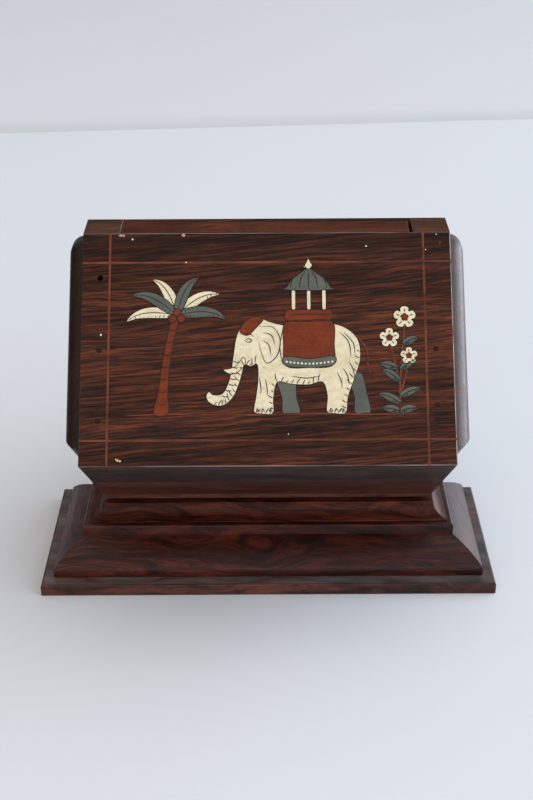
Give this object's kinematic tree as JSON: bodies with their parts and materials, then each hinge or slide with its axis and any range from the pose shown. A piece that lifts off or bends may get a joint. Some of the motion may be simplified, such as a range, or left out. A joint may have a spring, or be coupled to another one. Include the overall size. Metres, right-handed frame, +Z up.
{
  "type": "wind up music box",
  "caption": "Wooden music box: a square case standing on edge over a moulded base, with an inlaid front, a hinged lid strip on top and a winding key behind.",
  "frame": {"origin": "middle of the base's underside", "axes": "+Z up, -Y towards the inlaid front panel, +X to the viewer's right along the box"},
  "size_m": [0.15, 0.103, 0.1191],
  "materials": {
    "rosewood": "varnished dark reddish rosewood with streaked grain",
    "dark_rosewood": "varnished near-black rosewood",
    "lining_wood": "plain unvarnished brown wood",
    "stringing_wood": "orange-brown inlaid lines under varnish",
    "pin_iron": "dark blunt pins",
    "brass": "polished brass",
    "steel": "plain steel"
  },
  "bodies": {
    "case": {"plinth_board": "rosewood", "ovolo_board": "rosewood", "cove_board": "rosewood", "neck_block": "rosewood", "base_screws": "steel", "lower_front_board": "dark_rosewood", "lower_back_board": "dark_rosewood", "front_panel": "rosewood", "back_panel": "rosewood", "left_end_board": "rosewood", "right_end_board": "rosewood", "left_end_moulding": "rosewood", "right_end_moulding": "rosewood", "left_ridge_block": "rosewood", "right_ridge_block": "rosewood", "border_stringing": "stringing_wood", "panel_pins": "pin_iron", "well_liner": "lining_wood", "wire_guide": "brass", "key_bush": "brass", "mounting_screws": "steel", "bedplate": "brass", "click_pivot": "steel", "comb": "steel", "comb_block": "brass", "comb_screws": "steel", "left_post": "brass", "right_post": "brass", "governor_cock": "brass"},
    "lid": {"lid": "rosewood", "lid_pins": "brass"},
    "stop": {"stop_wire": "steel"},
    "key": {"winding_key": "brass", "winding_arbor": "steel", "ratchet_wheel": "steel"},
    "click": {"click": "steel"},
    "barrel": {"spring_barrel": "brass", "barrel_cover": "brass", "mainspring": "steel"},
    "cylinder": {"cylinder_drum": "brass", "cylinder_pins": "steel", "cylinder_shaft": "steel", "cylinder_pinion": "brass", "cylinder_wheel": "brass"},
    "second": {"second_shaft": "steel", "second_pinion": "brass", "worm_wheel": "brass"},
    "governor": {"governor_shaft": "steel", "governor_worm": "steel", "governor_fly": "brass"}
  },
  "joints": [
    {"name": "lid_hinge", "type": "hinge", "parent": "case", "child": "lid", "pos_m": [0, 0.0026, 0.1177], "axis": [-1, 0, 0], "range_deg": [0, 112]},
    {"name": "stop_slide", "type": "slide", "parent": "case", "child": "stop", "axis": [0, 0, 1], "range_m": [0, 0.00338]},
    {"name": "key_turn", "type": "hinge", "parent": "case", "child": "key", "pos_m": [-0.017, 0.03024, 0.08435], "axis": [0, 0.7591, 0.651], "continuous": true},
    {"name": "click_lift", "type": "hinge", "parent": "case", "child": "click", "pos_m": [-0.0255, 0.03259, 0.07715], "axis": [0, -0.7591, -0.651], "range_deg": [-12, 0], "stiffness_Nm_per_rad": 0.0005},
    {"name": "barrel_turn", "type": "hinge", "parent": "case", "child": "barrel", "pos_m": [-0.017, 0.02568, 0.08044], "axis": [0, -0.7591, -0.651], "continuous": true},
    {"name": "cylinder_turn", "type": "hinge", "parent": "case", "child": "cylinder", "pos_m": [0, 0.01862, 0.07439], "axis": [1, 0, 0], "continuous": true},
    {"name": "second_turn", "type": "hinge", "parent": "case", "child": "second", "pos_m": [0.028, 0.01205, 0.08206], "axis": [1, 0, 0], "continuous": true},
    {"name": "governor_turn", "type": "hinge", "parent": "case", "child": "governor", "pos_m": [0.0286, 0.01174, 0.09055], "axis": [0, -0.7591, -0.651], "continuous": true}
  ],
  "couplings": [
    {"joint": "lid_hinge", "follows": "stop_slide", "rad_per_m": 578},
    {"joint": "cylinder_turn", "follows": "barrel_turn", "ratio": 2},
    {"joint": "second_turn", "follows": "barrel_turn", "ratio": -6},
    {"joint": "governor_turn", "follows": "barrel_turn", "ratio": 60}
  ]
}
